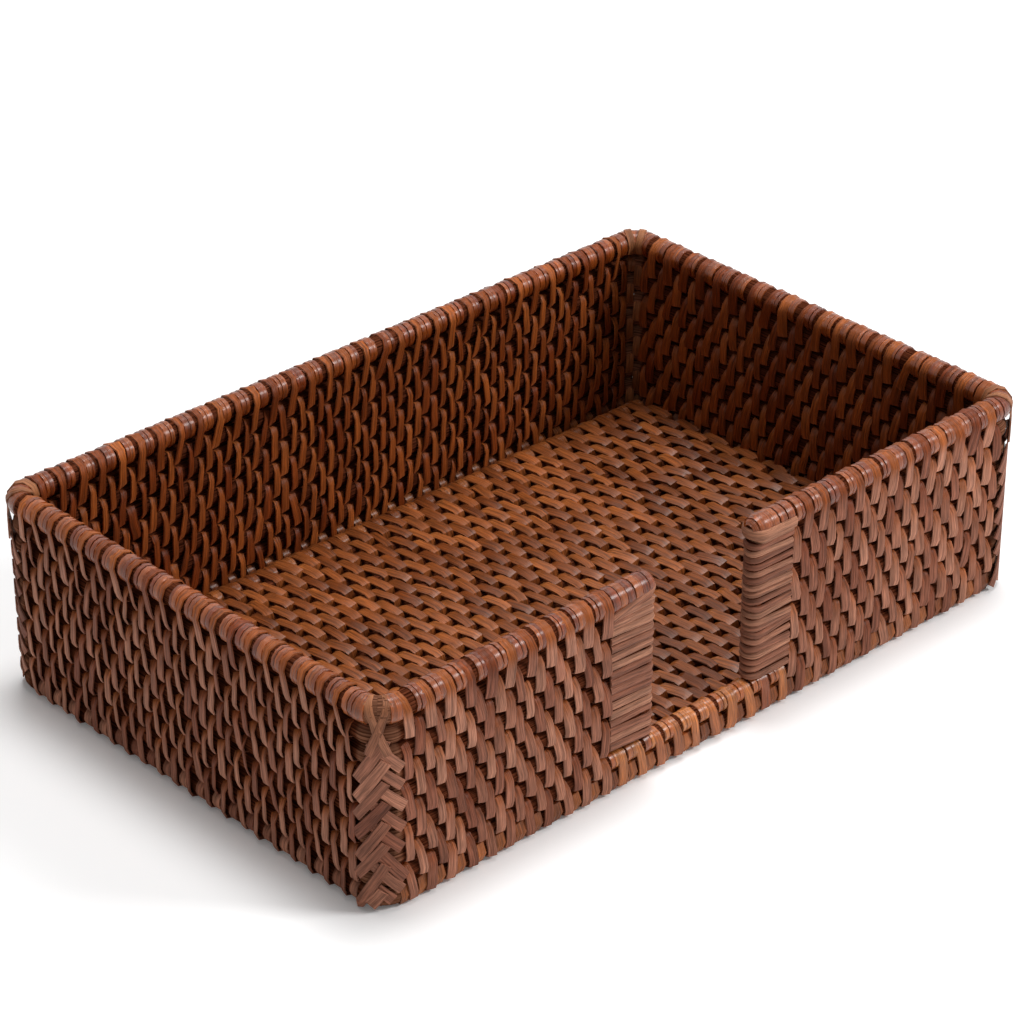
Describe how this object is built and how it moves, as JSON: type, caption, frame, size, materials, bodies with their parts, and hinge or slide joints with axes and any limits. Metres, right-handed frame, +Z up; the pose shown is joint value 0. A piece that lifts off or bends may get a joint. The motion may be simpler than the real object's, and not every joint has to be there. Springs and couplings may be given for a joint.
{
  "type": "napkin tray",
  "caption": "Open rectangular napkin tray of woven brown rattan, with a low finger gap in its long front wall and crossed lashings at the corners.",
  "frame": {"origin": "middle of the tray's footprint, on the surface it stands on", "axes": "+X along the long side, -Y towards the wall with the finger gap, +Z up"},
  "size_m": [0.254, 0.162, 0.0645],
  "materials": {
    "rattan_core": "matte, fibrous",
    "rattan_peel_strip": "matte, stained brown",
    "rattan_rim_strip": "satin varnish",
    "rattan_binding_strip": "matte",
    "rattan_floor_strip": "satin varnish"
  },
  "bodies": {
    "root": {"rim_core_left": "rattan_core", "rods_left": "rattan_core", "rim_wraps_left": "rattan_rim_strip", "weave_strips_left": "rattan_peel_strip", "rim_core_right": "rattan_core", "rods_right": "rattan_core", "rim_wraps_right": "rattan_rim_strip", "weave_strips_right": "rattan_peel_strip", "rim_core_back": "rattan_core", "rods_back": "rattan_core", "rim_wraps_back": "rattan_rim_strip", "weave_strips_back": "rattan_peel_strip", "rim_core_front_left": "rattan_core", "rods_front_left": "rattan_core", "rim_wraps_front_left": "rattan_rim_strip", "weave_strips_front_left": "rattan_peel_strip", "rim_core_front_right": "rattan_core", "rods_front_right": "rattan_core", "rim_wraps_front_right": "rattan_rim_strip", "weave_strips_front_right": "rattan_peel_strip", "rods_front_low": "rattan_core", "sill_strips": "rattan_peel_strip", "sill_wraps": "rattan_rim_strip", "end_post_left": "rattan_core", "post_binding_left": "rattan_binding_strip", "end_post_right": "rattan_core", "post_binding_right": "rattan_binding_strip", "corner_lashing_front_left": "rattan_binding_strip", "corner_lashing_front_right": "rattan_binding_strip", "corner_lashing_back_right": "rattan_binding_strip", "corner_lashing_back_left": "rattan_binding_strip", "floor_rods": "rattan_core", "floor_strips_inner": "rattan_floor_strip", "floor_strips_outer": "rattan_floor_strip"}
  },
  "joints": []
}
